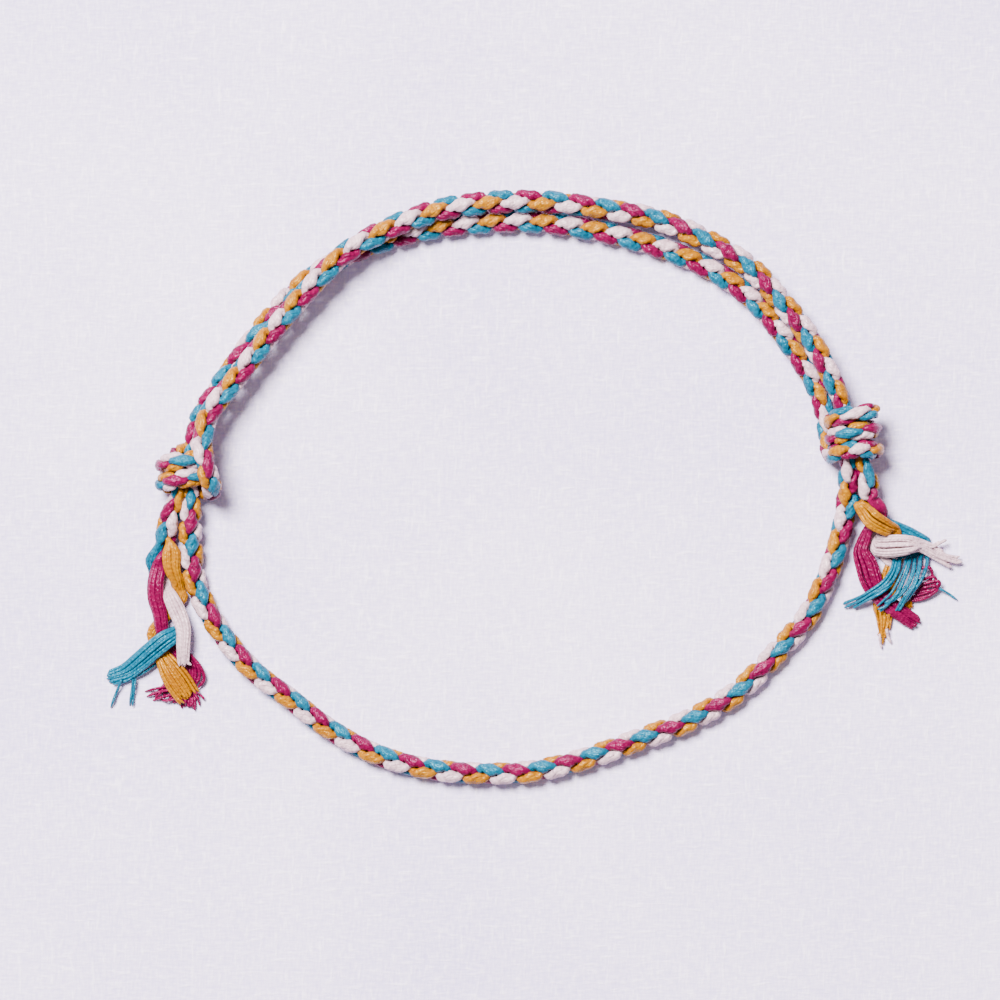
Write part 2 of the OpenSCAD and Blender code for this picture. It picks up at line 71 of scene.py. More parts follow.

# %% [markdown]
# ## The route of the braid
#
# A braid could be laid along a curve with a modifier, but here it squeezes through two knots and
# turns as it goes. So the route is a table, in millimetres: the place, how many turns the braid has
# made so far, its radius, and now and then the angle it faces.

# %% Write down the route
# columns: x, y, z, turns so far, radius, facing
ROUTE = [
    # left tail
    (-37, -8.45, 1.15, 0, 1.12, -45), (-36.75, -6.45, 1.2, 0.25, 1.16, -45),
    (-36.65, -4.85, 1.3, 0.5, 1.16, -45), (-36.4, -3.6, 1.45, 0.75, 1.1, -45),
    (-36, -2.3, 1.65, 1, 1, -45),
    # left knot
    (-35.35, -0.7, 2.35, 1.35, 0.66), (-35.3, 0.4, 2.45, 1.55, 0.6), (-35.3, 1.7, 2.5, 1.75, 0.6),
    (-35.3, 2.8, 2.45, 1.95, 0.62), (-35.5, 3.3, 2, 2.15, 0.76), (-34.9, 3.6, 1.25, 2.35, 0.82),
    (-33.9, 3.5, 0.85, 2.55, 0.85), (-32.9, 3.3, 1.45, 2.8, 0.85), (-32.6, 3.05, 2.5, 3, 0.85),
    (-33.1, 2.85, 3.55, 3.2, 0.85), (-34.1, 2.7, 3.95, 3.4, 0.85),
    (-35.35, 2.55, 4, 3.6, 0.85, 0), (-36.4, 2.35, 3.5, 3.85, 0.85),
    (-36.8, 2.15, 2.45, 4.05, 0.85), (-36.3, 1.95, 1.4, 4.3, 0.85), (-35.3, 1.8, 1, 4.55, 0.85),
    (-34.1, 1.6, 1, 4.75, 0.85), (-33.05, 1.4, 1.45, 5, 0.85), (-32.7, 1.3, 2.45, 5.25, 0.85),
    (-33.15, 1.15, 3.5, 5.5, 0.85), (-34.15, 0.9, 3.95, 5.7, 0.85),
    (-35.3, 0.75, 3.95, 5.95, 0.85, -5), (-36.35, 0.55, 3.55, 6.2, 0.85),
    (-36.8, 0.35, 2.5, 6.5, 0.85), (-36.3, 0.2, 1.4, 6.75, 0.85), (-35.3, 0.1, 1, 7, 0.85),
    (-34.1, -0.1, 0.95, 7.3, 0.86), (-33, -0.3, 1.2, 7.6, 0.88), (-32.2, -0.4, 2.2, 7.95, 0.9),
    (-31.95, -0.15, 3.55, 8.25, 0.92), (-32.05, 0.45, 4.7, 8.55, 0.94),
    (-32.35, 1.45, 5.3, 8.85, 0.94, 20), (-32.6, 2.5, 5.4, 9.05, 0.95),
    # upper run A
    (-32.8, 3.6, 5.2, 9.26, 0.98, 40), (-32.8, 4.9, 4.75, 9.5, 1.04, 45),
    (-32.15, 7.4, 4.1, 10, 1.1, 45), (-29, 11.55, 3.45, 11, 1.1, 45),
    (-25.95, 15.5, 3.4, 12, 1.1, 45), (-22.7, 19.3, 3.4, 13, 1.1, 48),
    (-18.65, 23.35, 3.3, 14, 1.1, 55), (-13.6, 26.15, 3, 15, 1.1, 68),
    (-8.5, 27.85, 2.75, 16, 1.1, 80), (-3.1, 28.5, 2.55, 17, 1.1, 95),
    (2.3, 28.45, 2.4, 18, 1.1, 118), (7.55, 27.75, 2.25, 19, 1.1, 138),
    (12.4, 26.8, 2.1, 20, 1.1, 158), (17.2, 24.8, 2.1, 21, 1.1, 170),
    (21.7, 22, 2.3, 22, 1.1, 180), (24.85, 18.6, 2.7, 23, 1.1, 190),
    (27.8, 14.8, 3.1, 24, 1.1, 210), (30.1, 10.5, 3.45, 25, 1.04, 225),
    (30.9, 8.4, 3.45, 25.45, 0.84, 233),
    # right core
    (31.4, 6.65, 3.35, 25.8, 0.62), (31.45, 4.95, 3.35, 26.15, 0.62),
    (31.55, 3.35, 3.35, 26.45, 0.64),
    # lower arc
    (31.55, 1.9, 2.85, 26.73, 0.86, 282), (31.6, -0.25, 1.85, 27.2, 1.1, 298),
    (31.3, -2.9, 1.3, 27.7, 1.1, 310), (30.05, -7.55, 1.15, 28.65, 1.1, 325),
    (27.85, -12.5, 1.1, 29.65, 1.1, 342), (24.45, -16.6, 1.1, 30.65, 1.1, 355),
    (20.4, -20.6, 1.1, 31.6, 1.1, 362), (15.6, -23.4, 1.1, 32.65, 1.1, 368),
    (10.55, -25.35, 1.1, 33.65, 1.1, 375), (5.25, -27.2, 1.1, 34.7, 1.1, 385),
    (0, -28.45, 1.1, 35.7, 1.1, 390), (-5.3, -28.65, 1.1, 36.7, 1.1, 398),
    (-10.6, -28.15, 1.1, 37.7, 1.1, 402), (-15.7, -26.7, 1.1, 38.7, 1.1, 405),
    (-20.3, -24.2, 1.1, 39.7, 1.1, 405), (-24.2, -21.2, 1.1, 40.7, 1.1, 405),
    (-28.1, -18.2, 1.1, 41.7, 1.1, 403), (-31.3, -14.3, 1.1, 42.7, 1.1, 395),
    (-33.55, -9.95, 1.25, 43.65, 1.1, 382), (-34.1, -6.1, 1.6, 44.4, 1.1, 370),
    (-34.15, -3.7, 2.05, 44.95, 1.08, 365), (-34.05, -1.7, 2.4, 45.35, 0.86, 360),
    # left core
    (-34.1, -0.1, 2.5, 45.75, 0.62), (-34.15, 1.3, 2.45, 46.05, 0.6),
    (-34.15, 2.7, 2.5, 46.4, 0.62),
    # upper run B
    (-34, 3.9, 2.55, 46.67, 0.74, 310), (-33.7, 5.1, 2.45, 46.96, 0.94, 300),
    (-33.3, 6.6, 1.85, 47.35, 1.05, 300), (-32.1, 8.7, 1.3, 48, 1.1, 300),
    (-29.6, 12.5, 1.1, 48.85, 1.1, 320), (-26.6, 16.3, 1.1, 49.7, 1.1, 350),
    (-22.9, 20.3, 1.1, 50.75, 1.1, 385), (-19.3, 22.8, 1.1, 51.6, 1.1, 408),
    (-15.2, 24.55, 1.1, 52.5, 1.1, 428), (-10.4, 25.85, 1.1, 53.5, 1.1, 440),
    (-5.3, 26.5, 1.1, 54.5, 1.1, 440), (-0.1, 26.6, 1.1, 55.5, 1.1, 435),
    (5, 25.95, 1.1, 56.5, 1.1, 425), (9.9, 24.85, 1.1, 57.5, 1.1, 418),
    (14.5, 23.35, 1.1, 58.5, 1.1, 415), (18.95, 21.15, 1.2, 59.5, 1.1, 415),
    (22.65, 18.2, 1.35, 60.5, 1.1, 415), (25.6, 14.55, 1.35, 61.5, 1.08, 415),
    (28, 10.8, 1.1, 62.4, 1, 415),
    # right knot
    (29, 8.4, 0.95, 62.95, 0.88), (29.3, 7, 0.9, 63.2, 0.84), (29.5, 5.5, 0.85, 63.5, 0.82),
    (29.6, 4.3, 0.9, 63.8, 0.82), (29.75, 3.45, 1.45, 64.05, 0.76),
    (29.95, 3.05, 2.6, 64.3, 0.74), (30.1, 3.4, 3.9, 64.53, 0.76),
    (30.9, 3.55, 4.65, 64.78, 0.78), (31.9, 3.7, 4.9, 65.06, 0.8, 90),
    (32.9, 3.8, 4.9, 65.35, 0.8), (33.95, 3.7, 4.25, 65.62, 0.8), (34.35, 3.7, 3.25, 65.81, 0.8),
    (33.85, 3.85, 2.3, 66, 0.8), (32.8, 4.2, 1.9, 66.22, 0.8), (31.6, 4.5, 1.9, 66.48, 0.8),
    (30.45, 4.7, 2.35, 66.74, 0.8), (30.05, 4.9, 3.35, 67, 0.8), (30.5, 5.1, 4.4, 67.25, 0.8),
    (31.5, 5.4, 4.8, 67.5, 0.8, 0), (32.7, 5.6, 4.8, 67.7, 0.8), (33.7, 5.7, 4.4, 67.95, 0.8),
    (34.1, 5.8, 3.35, 68.15, 0.8), (33.6, 5.85, 2.3, 68.35, 0.8), (32.6, 5.9, 1.9, 68.55, 0.8),
    (31.4, 6.2, 1.85, 68.75, 0.8), (30.35, 6.4, 2.25, 69, 0.8), (29.9, 6.6, 3.35, 69.2, 0.8),
    (30.35, 6.9, 4.45, 69.4, 0.8), (31.4, 7.15, 4.85, 69.6, 0.8, -90),
    (32.6, 7.35, 4.85, 69.8, 0.78), (33.8, 7.6, 4.7, 70, 0.75), (34.05, 7.6, 3.55, 70.17, 0.69),
    (33.7, 7.5, 3.15, 70.32, 0.63), (32.9, 7.1, 2.9, 70.47, 0.54), (32.65, 6.65, 3.4, 70.63, 0.6),
    (32.65, 5.5, 3.45, 70.78, 0.6), (32.75, 4.5, 3.45, 70.98, 0.62), (32.9, 3.3, 3.3, 71.2, 0.66),
    # right tail
    (33.2, 1.8, 3.1, 71.46, 0.88, -35), (33.5, 1.1, 3, 71.55, 0.96, -35),
    (33.65, 0.05, 2.7, 71.75, 1.08, -35), (33.7, -1, 2.1, 72, 1.12, -35),
    (33.8, -2.2, 1.6, 72.25, 1.14, -35),
]
# columns: x, y, z, width, thickness
LEFT_LOCKS = {
    "magenta": [
        (-37.35, -8.05, 1.42, 1.2, 0.42), (-37.65, -9.5, 1.68, 1.45, 0.55),
        (-37.65, -11.1, 1.61, 1.5, 0.48), (-37.25, -12.6, 1.45, 1.3, 0.48),
        (-37.05, -14.1, 1.22, 1.2, 0.46), (-36.8, -15.2, 0.52, 1, 0.35),
        (-35.5, -16.8, 0.4, 1.2, 0.36), (-34.9, -18.2, 0.3, 2, 0.34),
        (-35.2, -19.7, 0.28, 3.2, 0.32), (-35.7, -21.2, 0.28, 4.6, 0.32),
    ],
    "cyan": [
        (-38.1, -7.3, 1.28, 0.9, 0.3), (-37.85, -8.3, 0.55, 0.9, 0.36),
        (-37.75, -9.5, 0.32, 0.9, 0.34), (-37.5, -10.8, 0.24, 0.9, 0.34),
        (-37.2, -11.9, 0.2, 0.9, 0.34), (-35.6, -12.9, 0.28, 1, 0.36),
        (-34.9, -13.7, 0.5, 1.1, 0.38), (-35.5, -14.55, 1.2, 1.2, 0.33),
        (-36.7, -15.3, 1.79, 1.6, 0.41), (-38.1, -16.4, 1.45, 1.6, 0.5),
        (-39.4, -17.5, 1, 1.5, 0.5), (-40.7, -18.5, 0.55, 1.3, 0.45), (-42.1, -19, 0.3, 1, 0.36),
    ],
    "yellow": [
        (-36.05, -6.6, 2.08, 1.7, 0.42), (-36, -8.1, 1.91, 1.5, 0.5),
        (-35.55, -9.4, 1.37, 1.1, 0.42), (-35.3, -10.4, 0.84, 0.9, 0.38),
        (-35.1, -11.2, 0.85, 1, 0.34), (-37.9, -14.3, 0.54, 1, 0.31),
        (-37.8, -15.6, 0.35, 0.9, 0.33), (-36.95, -17.1, 0.87, 1.5, 0.4),
        (-36.2, -18.4, 1.12, 2.3, 0.45), (-35.4, -19.6, 1, 2.6, 0.45),
        (-34.6, -20.8, 0.75, 2.4, 0.4),
    ],
    "white": [
        (-37, -7.7, 0.3, 0.8, 0.28), (-36.6, -9.05, 0.21, 0.9, 0.36),
        (-36.5, -10.1, 0.6, 0.85, 0.38), (-36.15, -11, 1.97, 1.4, 0.32),
        (-35.5, -12.4, 1.85, 1.7, 0.46), (-34.9, -14.1, 1.98, 1.55, 0.46),
        (-34.9, -15.8, 1.94, 1.3, 0.46), (-34.9, -17.5, 1.55, 1, 0.4),
    ],
}
# columns: x, y, z, width, thickness
RIGHT_LOCKS = {
    "magenta": [
        (34.85, -2, 2.59, 0.8, 0.32), (35.05, -2.7, 1.87, 0.9, 0.4),
        (34.27, -3.79, 1.42, 0.9, 0.4), (33.7, -4.3, 1.2, 1, 0.4), (33.25, -5.4, 1, 1.3, 0.45),
        (32.95, -6.45, 0.95, 1.6, 0.5), (33.5, -7.8, 0.95, 2.3, 0.5), (34, -9.4, 0.95, 2.3, 0.5),
        (34.84, -10.81, 0.78, 1.8, 0.45), (36.4, -12.2, 0.75, 1.6, 0.45),
        (38.2, -13.4, 0.4, 1.5, 0.4),
    ],
    "cyan": [
        (33.7, -3, 0.99, 0.7, 0.3), (35.15, -3.35, 0.99, 0.9, 0.36),
        (35.75, -3.75, 0.81, 1, 0.38), (37.1, -4.3, 0.59, 1, 0.4), (38.3, -4.9, 0.45, 1, 0.36),
        (39.5, -5.9, 0.32, 1, 0.34), (39.8, -6.8, 0.4, 1.2, 0.36), (39.4, -8, 0.8, 1.7, 0.4),
        (38.6, -9, 1.35, 2.2, 0.48), (37.7, -10, 1.78, 2.4, 0.5), (36.4, -10.9, 1.8, 2, 0.5),
        (34.91, -11.69, 1.58, 1.4, 0.45), (33.4, -12, 0.95, 0.8, 0.4),
    ],
    "yellow": [
        (32.7, -1.7, 2.48, 0.9, 0.34), (33.35, -2.45, 2.44, 1.5, 0.48),
        (34, -3.25, 2.72, 1.8, 0.5), (35.58, -4.16, 1.95, 1.5, 0.48),
        (36.35, -4.5, 1.13, 1, 0.34), (36.6, -7.05, 0.21, 1, 0.36), (36.1, -8, 0.28, 1.3, 0.34),
        (35.7, -9.9, 0.26, 1.5, 0.34), (35.3, -11.9, 0.26, 1.5, 0.34), (35, -14.5, 0.3, 1, 0.36),
    ],
    "white": [
        (34.4, -3, 0.18, 0.8, 0.3), (34.3, -4, 0.34, 0.9, 0.34), (34.6, -5.1, 0.42, 1.2, 0.36),
        (34.6, -5.9, 1, 1.9, 0.45), (37.6, -5.8, 2.17, 1.75, 0.5), (38.9, -5.9, 1.5, 1.6, 0.5),
        (40.6, -6.4, 1.05, 1.5, 0.45), (42.1, -7.3, 0.6, 1.2, 0.4),
    ],
}
print(len(ROUTE), "rows of route")

# %% [markdown]
# ## From rows to a smooth line
#
# A spline that passes through each row (Catmull-Rom) gives the line of the braid. A frame is
# carried along it without twist, and then turned so that it meets each stated facing.

# %% Smooth the line and turn its frame
TURNS, RADIUS, FACING = 3, 4, 5  # columns of the route, after x, y and z
STEPS = 12  # points of the line from one row to the next


def unit(vectors):
    return vectors / np.linalg.norm(vectors, axis=-1, keepdims=True)


def smooth(rows, steps):
    """A spline through all the rows, with that many points from one row to the next."""
    rows = np.asarray(rows, float)
    padded = np.concatenate([[2 * rows[0] - rows[1]], rows, [2 * rows[-1] - rows[-2]]])
    s = (np.arange(steps) / steps).reshape((steps,) + (1,) * (rows.ndim - 1))
    spans = []
    for a, b, c, d in zip(padded, padded[1:], padded[2:], padded[3:]):
        spans.append(0.5 * (2 * b + (c - a) * s + (2 * a - 5 * b + 4 * c - d) * s ** 2
                            + (3 * b - a - 3 * c + d) * s ** 3))
    return np.concatenate(spans + [rows[-1:]])


line = smooth([row[:FACING] for row in ROUTE], STEPS)
place, turns, radius = line[:, :TURNS], line[:, TURNS], line[:, RADIUS]
heading = unit(np.gradient(place, axis=0))
carried = np.zeros_like(place)
frame_now = np.array([0.0, 0.0, 1.0])
for i, along in enumerate(heading):
    frame_now = unit(frame_now - (frame_now @ along) * along)
    carried[i] = frame_now
beside = np.cross(heading, carried)

known = []
angle = 0.0
for i, row in enumerate(ROUTE):
    if len(row) > FACING:
        j = i * STEPS
        up = np.array([0.0, 0.0, 1.0])
        up = unit(up - (up @ heading[j]) * heading[j])
        sideways = np.cross(heading[j], up)
        facing = math.radians(row[FACING])
        wanted = math.cos(facing) * up + math.sin(facing) * sideways
        found = math.degrees(math.atan2(wanted @ beside[j], wanted @ carried[j]))
        angle = found + 360 * round((angle - found) / 360) if known else found
        known.append((row[TURNS], angle))
spin = np.radians(np.interp(turns, *zip(*known)))[:, None]
across = np.cos(spin) * carried + np.sin(spin) * beside
length = np.linalg.norm(np.diff(place, axis=0), axis=1).sum()
print(f"{length:.0f} mm of braid in {turns[-1]:.1f} turns")

# %% [markdown]
# ## Where one strand runs
#
# In a round braid of four, a strand rides on the outside, dives between two others through the
# middle, rides on the far side and comes back. Six four-cornered sections describe one such turn.
# The second strand of a pair uses them turned over, and the other pair has its axes exchanged.

# %% Sections of a strand along the braid
# corners of a section in a braid of radius 1
OUTSIDE = np.array([[0.94, 0.32], [0.94, -0.32], [0.55, -0.81], [0.55, 0.81]])
DIVING = np.array([[0.79, 0.33], [0.94, 0.32], [0.98, 0.07], [0.21, 0.03]])
SWAP = [1, 0, 3, 2]
SIX = [OUTSIDE, DIVING, (DIVING * [-1, 1])[SWAP], -OUTSIDE, -DIVING, (DIVING * [1, -1])[SWAP]]
DRAWN_IN = 0.84  # the rings that hold the threads are this share of the full sections


def braid_rings(start, first, final, crossed, side):
    """The rings of a strand, from its first section to its final one, and the braid's radius there.

    start says by how many turns the strand is moved on, crossed exchanges the axes, and a side of
    -1 turns the sections over.
    """
    k = np.arange(first, final + 1)
    at = start + k / len(SIX)
    centre, along, x = (
        np.stack([np.interp(at, turns, values[:, c]) for c in range(3)], axis=1)
        for values in (place, heading, across)
    )
    along = unit(along)
    x = unit(x - (x * along).sum(1, keepdims=True) * along)
    y = np.cross(along, x)
    size = np.interp(at, turns, radius)[:, None, None]
    shape = np.array([SIX[i % len(SIX)] for i in k])
    shape = (shape[:, :, ::-1] if crossed else shape) * side
    shape = shape * DRAWN_IN
    rings = centre[:, None] + size * (shape[:, :, :1] * x[:, None] + shape[:, :, 1:] * y[:, None])
    return rings, size[:, 0, 0]


print(len(SIX), "sections a turn")

# %% [markdown]
# ## Where the braid comes loose
#
# Beyond the last crossing each bundle goes its own way as a flat lock. A lock's rows give its
# place, width and thickness, going outward. Each flat ring takes the order of corners that
# matches the ring before it, so the threads never cross over.

# %% Sections of a loose lock
def lock_rings(rows, start):
    """The rings of a lock, going outward from the braid's ring where it starts."""
    rows = np.array(rows)
    points = rows[:, :3]
    before = np.vstack([start.mean(0), points[:-1]])
    after = np.vstack([points[1:], 2 * points[-1] - before[-1]])
    rings, last = [], start
    for here, width, thickness, a, b in zip(points, rows[:, 3], rows[:, 4], before, after):
        along = unit(b - a)
        side = unit(np.array([-along[1], along[0], 0.0]))
        top = np.cross(along, side)
        top = top if top[2] >= 0 else -top
        h, v = side * width / 2, top * thickness / 2
        corners = np.array([h + v, v - h, -h - v, h - v]) + here
        choices = [np.roll(c, -k, axis=0) for c in (corners, corners[::-1]) for k in range(4)]
        shift = here - last.mean(0)
        last = min(choices, key=lambda c: np.linalg.norm(c - last - shift, axis=1).sum())
        rings.append(last)
    return np.array(rings)


print(sum(len(rows) for locks in (LEFT_LOCKS, RIGHT_LOCKS) for rows in locks.values()),
      "rings in the loose locks")

# %% [markdown]
# ## A bundle of threads
#
# One strand is eleven satin threads lying side by side. A single tube with painted lines would
# stay smooth at its edge, so each thread is a line of its own inside the strand's sections, and a
# round bevel gives it thickness. The threads are pressed together in the braid, so they are drawn
# in a little and made thick enough to touch. In a lock they are thin and loose, and ten short ones
# are added there, because the frayed ends hold more single threads than one sees in the braid.

# %% Lay the threads
# where each thread lies in a ring, across and down it, from 0 to 1
LONG_SPOTS = [(0.16, 0.14), (0.39, 0.05), (0.61, 0.05), (0.84, 0.14), (0.06, 0.50), (0.50, 0.50),
              (0.94, 0.50), (0.16, 0.86), (0.39, 0.95), (0.61, 0.95), (0.84, 0.86)]
SHORT_SPOTS = [(0.30, 0.04), (0.70, 0.06), (0.20, 0.34), (0.80, 0.36), (0.50, 0.24),
               (0.18, 0.74), (0.82, 0.72), (0.32, 0.96), (0.68, 0.96), (0.50, 0.72)]
PRESSED_THREAD = 0.275  # mm, the radius of a thread in the braid
LOOSE_THREAD = 0.16  # mm, the radius of a thread in a lock
BETWEEN = 3  # points of a thread from one ring to the next
TIP = 4  # points that a loose end adds to its thread


def inside(rings, u, v):
    """The line of one spot through all the rings."""
    a, b, c, d = rings[:, 0], rings[:, 1], rings[:, 2], rings[:, 3]
    return (1 - v) * ((1 - u) * a + u * b) + v * ((1 - u) * d + u * c)


def loosen(points, count, rng, reach, amount):
    """Let the last points of a line wander, more and more towards its end, and add a tip."""
    points = points.copy()
    t = np.linspace(0, 1, count)[:, None]
    bend = rng.normal(0, amount, 3) * [1, 1, 0.35]
    wave = rng.normal(0, amount * 0.5, 3) * [1, 1, 0.3]
    points[-count:] += bend * t ** 2 + wave * np.sin(t * rng.uniform(2.0, 4.0)) * t
    out = unit(points[-1] - points[-4]) * [1, 1, 0.2]
    out = out + rng.normal(0, 0.3, 3) * [1, 1, 0]
    steps = np.arange(1, TIP + 1)[:, None] / TIP
    tip = points[-1] + out * steps * reach * rng.uniform(0.2, 1.0)
    return np.vstack([points, tip])


def tapered(thick):
    """The same thickness, growing thin over the last three points."""
    thick = thick.copy()
    thick[-3:] *= [0.9, 0.7, 0.35]
    return thick


def into_fan(controls, fan, share, rng):
    """Swap the last points of a line for one of the fan's guides. share, below 1, says which."""
    swapped, guides = fan
    guide = np.array(guides[int(share * len(guides))])
    aside = rng.normal(0, 0.13, 3) * [1, 0.6, 0.3]
    growing = np.linspace(0.6, 1.4, len(guide))[:, None]
    return np.vstack([controls[:-swapped], guide + aside * growing])


def sized(sizes, count):
    """The thickness at each of that many points, from the thickness at each ring."""
    return np.interp(np.arange(count) / BETWEEN, np.arange(len(sizes)), sizes)


def long_threads(rings, sizes, left_count, right_count, rng, fan=None):
    """The threads that run through the whole strand, loose over that many rings at each end."""
    for number, (u, v) in enumerate(LONG_SPOTS):
        controls = inside(rings, u, v)
        if fan:
            controls = into_fan(controls, fan, number / len(LONG_SPOTS), rng)
        line_now = smooth(controls, BETWEEN)
        thick = sized(sizes, len(line_now))
        line_now = loosen(line_now, right_count * BETWEEN, rng, reach=0.6, amount=0.1)
        line_now = loosen(line_now[::-1], left_count * BETWEEN, rng, reach=0.6, amount=0.1)[::-1]
        thick = np.concatenate([np.full(TIP, thick[0]), thick, np.full(TIP, thick[-1])])
        yield line_now, tapered(tapered(thick)[::-1])[::-1] * rng.uniform(0.93, 1.07)


def short_threads(rings, sizes, count, rng, fan=None):
    """Threads of one lock alone: rings go outward and begin inside the braid's last turn."""
    for u, v in SHORT_SPOTS:
        controls = inside(rings, u, v)
        if fan:
            share = rng.uniform(0, 1) ** 0.7  # the later guides get more of them
            controls = into_fan(controls, fan, share, rng)
        line_now = smooth(controls, BETWEEN)
        thick = sized(sizes, len(line_now))
        line_now = loosen(line_now, count * BETWEEN, rng, reach=0.8, amount=0.16)
        cut = rng.integers(0, 2 * BETWEEN)
        thick = np.concatenate([thick, np.full(TIP, thick[-1])])
        line_now, thick = line_now[:len(line_now) - cut], thick[:len(thick) - cut]
        yield line_now, tapered(thick) * rng.uniform(0.85, 1.05)


print(len(LONG_SPOTS), "long threads a strand,", len(SHORT_SPOTS), "short ones at each end")

# %% [markdown]
# ## From lines to one piece
#
# The curve bevel draws a round tube along each line, thick where the line says so and closed at
# its ends. The rings of the tubes could be worked out here instead, but the bevel already turns
# them along a bend without a twist. The curve is then converted to a mesh, because only a mesh
# can keep the marks that the finish reads. Points that would sink into the cloth are lifted to lie
# on it.

# %% Bevel the lines
ABOVE_CLOTH = 0.02  # mm from the cloth to the lowest threads


def thread_piece(name, lines):
    """One mesh of all the lines of a strand, each with its own thickness, in millimetres."""
    curve = bpy.data.curves.new(name, "CURVE")
    curve.dimensions = "3D"
    curve.bevel_depth = MM  # so that the thickness counts in millimetres
    curve.bevel_resolution = 1
    curve.use_fill_caps = True
    for points, thick in lines:
        height = np.maximum(points[:, 2], thick + ABOVE_CLOTH)
        points = np.column_stack([points[:, :2], height])
        spline = curve.splines.new("POLY")
        spline.points.add(len(points) - 1)
        spline.points.foreach_set("co", np.c_[points * MM, np.ones(len(points))].ravel())
        spline.points.foreach_set("radius", thick)
    piece = bpy.data.objects.new(name, curve)
    bpy.context.scene.collection.objects.link(piece)
    bpy.ops.object.select_all(action="DESELECT")
    piece.select_set(True)
    bpy.context.view_layer.objects.active = piece
    bpy.ops.object.convert(target="MESH")
    bpy.ops.object.shade_smooth()
    return piece


print("threads are kept", ABOVE_CLOTH, "mm above the cloth")

# %% [markdown]
# ## Loose ends, drawn one by one
#
# The single frayed threads make the look of the tassels, and no rule would lay them just so. Each
# is drawn as a few points, in millimetres, and a spline rounds it. Points of two numbers lie on the
# cloth, where a thread's end sinks down. Points of three have a height of their own, for the loops
# and for the threads that come down from a lock.

# %% Draw the frayed threads
FRAYED = {
    "cyan": [
        [(40.5, -10), (41.6, -10.6), (42.6, -11.3)],
        [(-41.1, -19.3), (-41.7, -20.8), (-42.2, -22.1)],
        [(-39.9, -19.2), (-40.1, -20.6), (-40.3, -21.9)],
        [(-39.7, -19.2), (-39.9, -20.8), (-40, -22)],
        [(-37.6, -17), (-39.7, -18.4), (-41.4, -19.1), (-42.4, -19)],
        [(-37.2, -17.4), (-38.9, -18.6), (-40.6, -19.4), (-42, -19.4)],
    ],
    "magenta": [
        [(38, -8.6, .7), (39.6, -8, .9), (40.1, -8.8, .8), (39.5, -9.7, .6), (38.4, -10.2, .4)],
        [(38.6, -9.4, .9), (40.2, -9, 1), (40.4, -9.6, .8), (39.4, -10.1, .6), (38, -10.6, .4)],
        [(38.8, -9.8, .8), (40.5, -9.4, 1), (40.8, -9.8, .9), (40, -10.4, .6), (37.8, -11.1, .4)],
        [(38.6, -10.2, .6), (40.4, -9.9, .9), (40.5, -10.4, .7), (39.4, -11, .5),
         (37.4, -11.3, .4)],
        [(38.4, -10.6, .4), (39.8, -10.4, .6), (40, -10.8, .5), (38.8, -11.3, .4), (37, -11.4, .4)],
        [(35.1, -11.7), (36.4, -12.5), (37.5, -12.8), (38.6, -13)],
        [(35.4, -12.2), (36.8, -13.2), (38.5, -13.6)],
        [(36.4, -13), (37.1, -13.6), (37.8, -14)],
        [(-36.6, -20), (-37.7, -20.2), (-38.8, -20.5)],
        [(-36.3, -20.3), (-37.6, -20.6), (-38.6, -21)],
        [(-36.1, -20.8), (-37.2, -21.1), (-38, -21.4)],
        [(-35.6, -21.2), (-36.6, -21.4), (-37.4, -21.2)],
        [(-34.9, -20.6), (-34.7, -21.4), (-34.7, -22)],
        [(-34.3, -20.6), (-34, -21.4), (-34, -22.2)],
        [(-33.8, -20.7), (-33.4, -21.3), (-33.3, -21.9)],
        [(-33.6, -20.6), (-33, -21), (-32.8, -21.4)],
        [(-34.2, -16.8, 1), (-33.2, -18, .9), (-32.8, -19.2, .6), (-33.4, -20.1, .4)],
        [(-34.3, -16.7, 1), (-33.5, -17.8, .8), (-33.3, -19, .6), (-33.8, -19.9, .4)],
        [(-34.4, -16.8, .8), (-33.8, -17.9, .7), (-33.7, -19, .5), (-34, -19.8, .4)],
        [(-34.5, -16.9, .7), (-34, -18, .6), (-34, -19, .5), (-34.2, -19.7, .4)],
    ],
    "yellow": [
        [(34.4, -12), (34.6, -13.2), (34.9, -14.9)],
        [(35.8, -12.7), (35.6, -13.9), (35.1, -14.8)],
        [(37, -10.8, .3), (37.3, -11.5, .4), (37.6, -12.2, .3)],
        [(37.4, -10.8, .3), (37.6, -11.5, .4), (37.9, -12.2, .3)],
        [(37.7, -10.9, .3), (37.9, -11.5, .4), (38.1, -12.1, .3)],
    ],
    "white": [
        [(35.5, -14.2), (35.7, -15.1), (36, -15.7)],
        [(34.8, -14.7), (34.9, -15.5), (35, -16.2)],
        [(34.3, -5.4, .7), (34.7, -6.6, .6), (35.5, -7.6, .5), (36.4, -8, .4)],
        [(34.6, -5.3, .9), (35, -6.4, .8), (35.8, -7.3, .6), (36.7, -7.6, .4)],
        [(34.9, -5.3, 1), (35.4, -6.3, .9), (36.1, -7, .7), (37, -7.3, .4)],
        [(34.5, -5.2, .8), (34.8, -6.3, .7), (35.7, -7.5, .5), (36.6, -7.9, .4)],
    ],
}

print(sum(len(lines) for lines in FRAYED.values()), "frayed threads drawn by hand")

# %% [markdown]
# ## Locks that open into fans
#
# Three locks of the right tassel fall apart into fans. A flat lock can't do that, because it only
# grows wider. So each fan has a few guides of its own, and every thread of the lock follows one of
# them, a little aside. The guides take the place of the lock's last rows.

